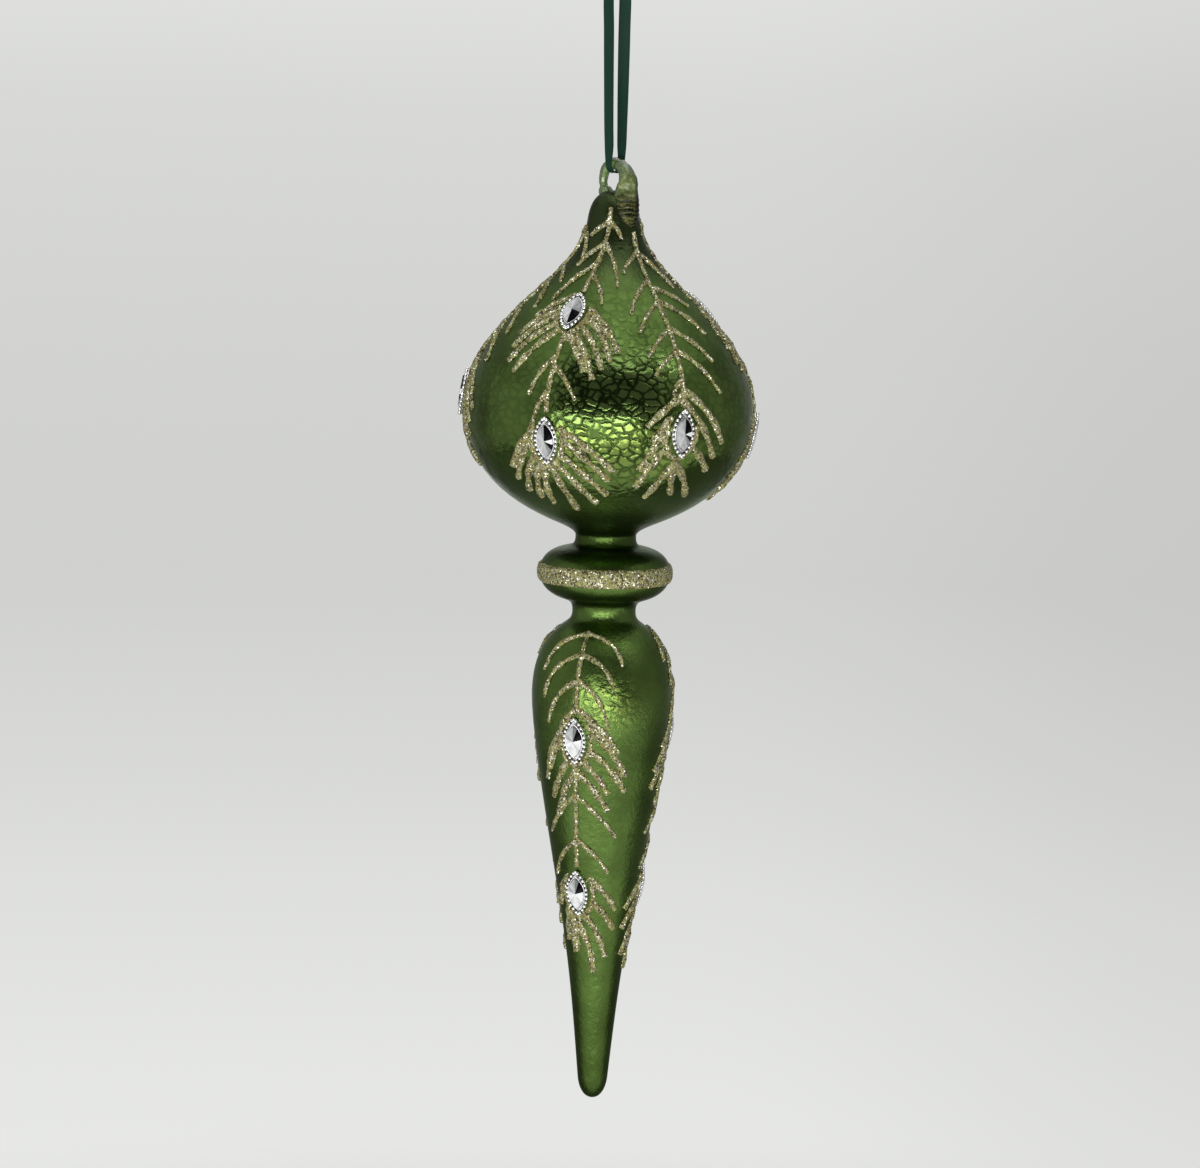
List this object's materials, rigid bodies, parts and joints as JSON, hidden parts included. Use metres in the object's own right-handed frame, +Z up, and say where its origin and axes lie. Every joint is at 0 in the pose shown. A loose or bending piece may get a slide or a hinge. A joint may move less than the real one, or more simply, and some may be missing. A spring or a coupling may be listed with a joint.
{
  "type": "glass finial ornament",
  "caption": "Blown-glass onion finial ornament with a ball collar, long drop, raised glitter peacock feathers, marquise gems and a ribbon loop through a glass hook.",
  "frame": {"origin": "top of the ribbon loop, just under its knot, where the ornament is hung up", "axes": "+Z up along the ornament's axis, -Y towards the side the picture shows, +X to its right"},
  "size_m": [0.0818, 0.0781, 0.3188],
  "materials": {
    "lacquered_glass": "satin green lacquer over silvered crackle glass",
    "hook_glass": "clear with green and amber streaks",
    "ribbon": "satin",
    "glitter": "champagne gold glitter in glue",
    "setting": "beaded silver",
    "stone": "cut and mirror-backed"
  },
  "bodies": {
    "ribbon": {"ribbon_loop": "ribbon", "ribbon_knot": "ribbon"},
    "ornament": {"glass_body": "lacquered_glass", "hanging_hook": "hook_glass", "collar_glitter_band": "glitter", "bulb_feather_1": "glitter", "bulb_feather_2": "glitter", "bulb_feather_3": "glitter", "bulb_feather_4": "glitter", "bulb_feather_5": "glitter", "bulb_feather_6": "glitter", "drop_feather_1": "glitter", "drop_feather_2": "glitter", "drop_feather_3": "glitter", "bulb_gem_1": "stone", "bulb_gem_2": "stone", "bulb_gem_3": "stone", "bulb_gem_4": "stone", "bulb_gem_5": "stone", "bulb_gem_6": "stone", "bulb_gem_7": "stone", "bulb_gem_8": "stone", "bulb_gem_9": "stone", "bulb_gem_setting_1": "setting", "bulb_gem_setting_2": "setting", "bulb_gem_setting_3": "setting", "bulb_gem_setting_4": "setting", "bulb_gem_setting_5": "setting", "bulb_gem_setting_6": "setting", "bulb_gem_setting_7": "setting", "bulb_gem_setting_8": "setting", "bulb_gem_setting_9": "setting", "drop_gem_1": "stone", "drop_gem_2": "stone", "drop_gem_3": "stone", "drop_gem_4": "stone", "drop_gem_5": "stone", "drop_gem_6": "stone", "drop_gem_setting_1": "setting", "drop_gem_setting_2": "setting", "drop_gem_setting_3": "setting", "drop_gem_setting_4": "setting", "drop_gem_setting_5": "setting", "drop_gem_setting_6": "setting"}
  },
  "joints": [
    {"name": "ornament_swing", "type": "hinge", "parent": "ribbon", "child": "ornament", "pos_m": [0, 0, -0.0487], "axis": [0.7071, -0.7071, 0], "range_deg": [-90, 90]}
  ]
}
